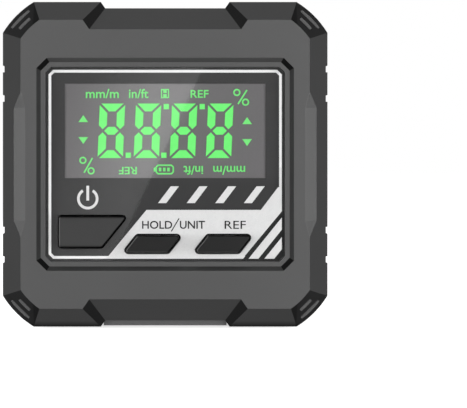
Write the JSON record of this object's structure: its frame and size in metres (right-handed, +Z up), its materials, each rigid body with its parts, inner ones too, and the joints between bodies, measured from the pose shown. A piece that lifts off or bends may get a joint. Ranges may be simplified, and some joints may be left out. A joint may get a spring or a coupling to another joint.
{
  "type": "digital angle gauge",
  "caption": "Square digital angle gauge in dark plastic, with chamfered corner guards, a lit green display, slanted buttons and a magnetic base.",
  "frame": {"origin": "bottom centre of the bounding box, under the base plate", "axes": "+X to the right as the display is read, +Y from the display to the back, +Z up"},
  "size_m": [0.064, 0.03, 0.064],
  "materials": {
    "housing": "fine matte texture",
    "lens": "clear gloss",
    "dark_print": "dark ink behind the lens",
    "white_print": "white ink behind the lens",
    "display_glass": "grey display glass",
    "lit_segment": "lit green",
    "light_guide": "milky diffuser",
    "pale_plastic": "plain moulding",
    "soft_strip": "soft strip",
    "board": "green solder mask",
    "chip": "moulded black",
    "button": "satin",
    "dark_button": "satin",
    "cell_jacket": "plain film jacket",
    "contact_metal": "nickel plated",
    "base_metal": "fine blasted",
    "magnet": "nickel plated",
    "screw_metal": "blackened steel"
  },
  "bodies": {
    "body": {"front_housing": "housing", "rear_housing": "housing", "lens_panel": "lens", "panel_film": "dark_print", "panel_print": "white_print", "lcd_glass": "display_glass", "lcd_segments": "lit_segment", "backlight": "light_guide", "lcd_frame": "pale_plastic", "contact_strip": "soft_strip", "circuit_board": "board", "controller_chip": "chip", "tilt_sensor": "chip", "power_switch": "chip", "hold_switch": "chip", "ref_switch": "chip", "upper_cell": "cell_jacket", "lower_cell": "cell_jacket", "bridge_contact": "contact_metal", "positive_contact": "contact_metal", "negative_contact": "contact_metal", "base_plate": "base_metal", "base_magnets": "magnet", "back_magnets": "magnet", "housing_screws": "screw_metal", "board_screws": "screw_metal"},
    "power_key": {"power_button": "button", "power_plunger": "pale_plastic"},
    "hold_key": {"hold_button": "dark_button", "hold_plunger": "pale_plastic"},
    "ref_key": {"ref_button": "dark_button", "ref_plunger": "pale_plastic"},
    "door": {"battery_door": "housing"}
  },
  "joints": [
    {"name": "power_press", "type": "slide", "parent": "body", "child": "power_key", "axis": [0, 1, 0], "range_m": [0, 0.0004], "stiffness_N_per_m": 500, "springref_m": -0.001},
    {"name": "hold_press", "type": "slide", "parent": "body", "child": "hold_key", "axis": [0, 1, 0], "range_m": [0, 0.0004], "stiffness_N_per_m": 500, "springref_m": -0.001},
    {"name": "ref_press", "type": "slide", "parent": "body", "child": "ref_key", "axis": [0, 1, 0], "range_m": [0, 0.0004], "stiffness_N_per_m": 500, "springref_m": -0.001},
    {"name": "door_tip", "type": "hinge", "parent": "body", "child": "door", "pos_m": [0, 0.0142, 0.0214], "axis": [-1, 0, 0], "range_deg": [0, 50]}
  ]
}
